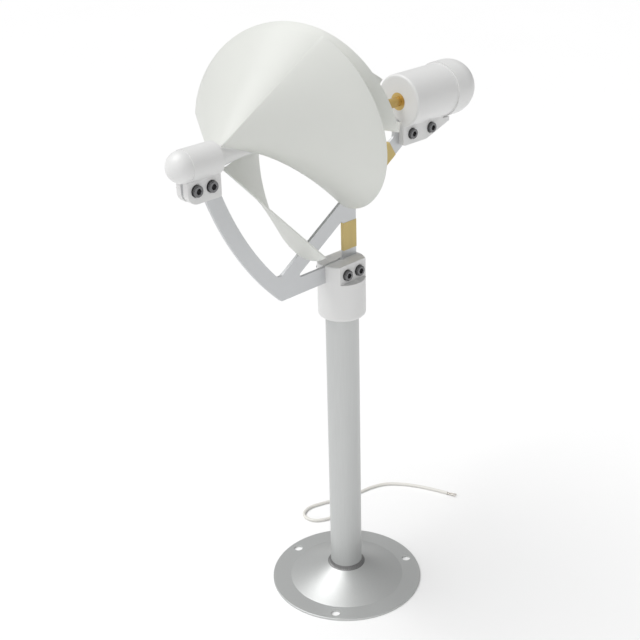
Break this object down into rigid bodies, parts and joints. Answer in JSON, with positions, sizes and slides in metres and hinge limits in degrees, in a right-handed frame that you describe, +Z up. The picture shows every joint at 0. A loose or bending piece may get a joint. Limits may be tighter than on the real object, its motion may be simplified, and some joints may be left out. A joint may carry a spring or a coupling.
{
  "type": "small wind turbine",
  "caption": "Pole-mounted small wind turbine: spiral sheet blades on a horizontal shaft between a nose bearing and a generator, on a flat yoke that yaws on a flanged floor pole.",
  "frame": {"origin": "centre of the flange's underside, on the floor under the pole axis", "axes": "+Z up along the pole; +Y along the rotor shaft from the nose to the generator; +X toward the side with the screw heads"},
  "size_m": [0.2869, 0.5115, 0.7769],
  "materials": {
    "galvanised_steel": "satin bright steel with faint vertical drawing lines",
    "machined_aluminium": "turned",
    "yoke_aluminium": "matte rolled plate",
    "white_housing": "fine satin moulded white plastic",
    "blade_sheet": "smooth white translucent-looking sheet",
    "dark_screw": "blackened",
    "zinc_fastener": "zinc plated",
    "bearing_steel": "polished",
    "brass": "satin",
    "amber_tape": "amber film tape",
    "bush_plastic": "self-lubricating",
    "black_rubber": "matte",
    "cable_jacket": "soft white sheath",
    "bare_copper": "tinned copper cores",
    "core_steel": "laminated",
    "winding_copper": "enamelled"
  },
  "bodies": {
    "base": {"base_flange": "galvanised_steel", "weld_bead": "galvanised_steel", "pole_tube": "galvanised_steel", "pole_plug": "machined_aluminium", "slip_ring_case": "bush_plastic", "cable_grommet": "black_rubber", "mast_cable": "cable_jacket", "floor_cable": "cable_jacket", "cable_cores": "bare_copper"},
    "head": {"yaw_collar": "white_housing", "yaw_bush_lower": "bush_plastic", "yaw_bush_upper": "bush_plastic", "thrust_washer": "bush_plastic", "slip_ring_shaft": "bush_plastic", "retaining_screws": "zinc_fastener", "yoke_plate": "yoke_aluminium", "strut_tape": "amber_tape", "arm_tape": "amber_tape", "collar_screws": "dark_screw", "collar_nuts": "zinc_fastener", "nose_screws": "dark_screw", "nose_nuts": "zinc_fastener", "generator_screws": "dark_screw", "generator_nuts": "zinc_fastener", "nose_housing": "white_housing", "nose_cap": "white_housing", "shaft_seal": "black_rubber", "front_bearing_outer": "bearing_steel", "front_bearing_balls": "bearing_steel", "rear_bearing_outer": "bearing_steel", "rear_bearing_balls": "bearing_steel", "generator_housing": "white_housing", "generator_cap": "white_housing", "brass_bush": "brass", "bearing_plate": "machined_aluminium", "stator_core": "core_steel", "stator_coils": "winding_copper"},
    "rotor": {"rotor_shaft": "brass", "shaft_sleeve": "white_housing", "shaft_clip": "zinc_fastener", "front_hub": "white_housing", "rear_hub": "white_housing", "blade_1": "blade_sheet", "blade_2": "blade_sheet", "blade_3": "blade_sheet", "magnet_core": "core_steel", "rotor_magnets": "core_steel", "front_bearing_inner": "bearing_steel", "rear_bearing_inner": "bearing_steel"}
  },
  "joints": [
    {"name": "yaw", "type": "hinge", "parent": "base", "child": "head", "pos_m": [0, 0, 0.45], "axis": [0, 0, 1], "continuous": true},
    {"name": "rotor_spin", "type": "hinge", "parent": "head", "child": "rotor", "pos_m": [0, 0, 0.652], "axis": [0, 1, 0], "continuous": true}
  ]
}
